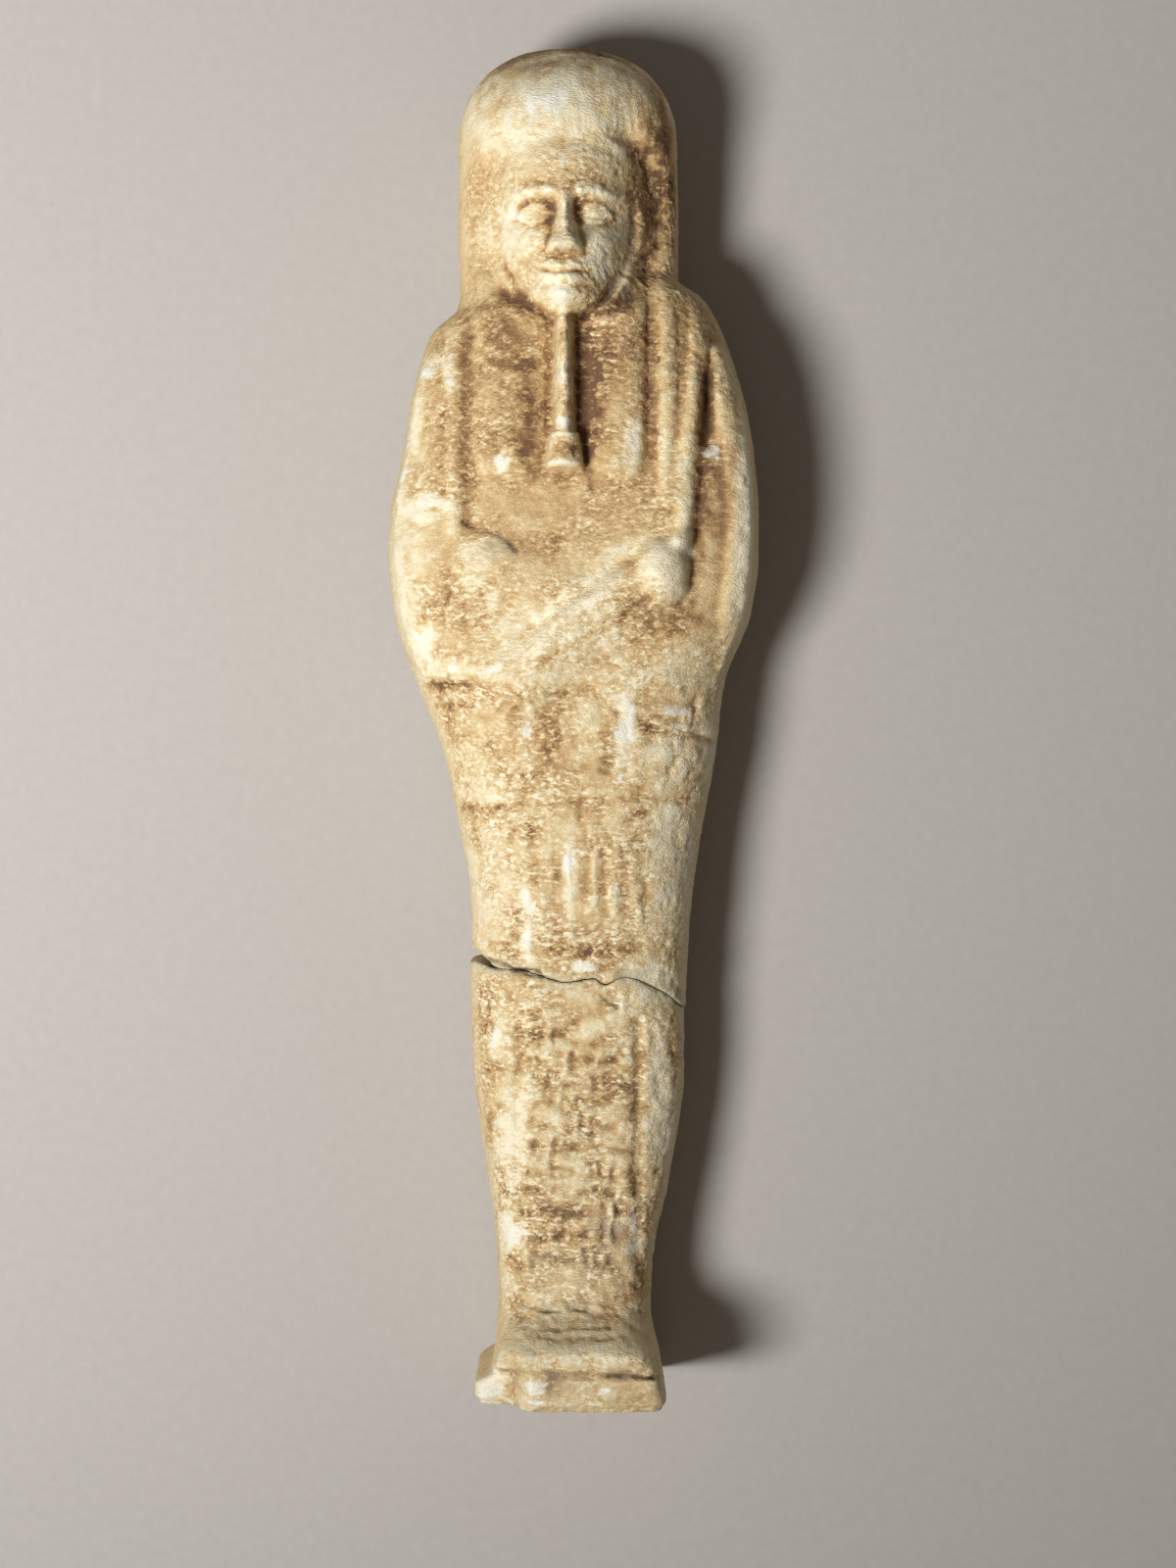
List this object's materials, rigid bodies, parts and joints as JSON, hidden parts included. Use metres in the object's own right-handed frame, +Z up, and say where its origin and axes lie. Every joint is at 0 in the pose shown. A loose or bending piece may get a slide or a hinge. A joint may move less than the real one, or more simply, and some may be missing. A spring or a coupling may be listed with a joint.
{
  "type": "ushabti figurine",
  "caption": "Small moulded faience mummy-form funerary figure with crossed arms, wig, beard, dorsal pillar and foot plinth, broken across the shins and rejoined.",
  "frame": {"origin": "under the middle of the figure's length and width, on the plane that it lies on", "axes": "+X to the figure's own left side, +Y along the figure from feet to head, +Z up out of its face, away from the dorsal pillar"},
  "size_m": [0.0297, 0.108, 0.0185],
  "materials": {
    "faience_upper": "weathered, soil-stained faience, mostly matt with worn glaze",
    "faience_lower": "weathered, soil-stained faience, mostly matt with worn glaze"
  },
  "bodies": {
    "root": {"upper_fragment": "faience_upper", "lower_fragment": "faience_lower"}
  },
  "joints": []
}
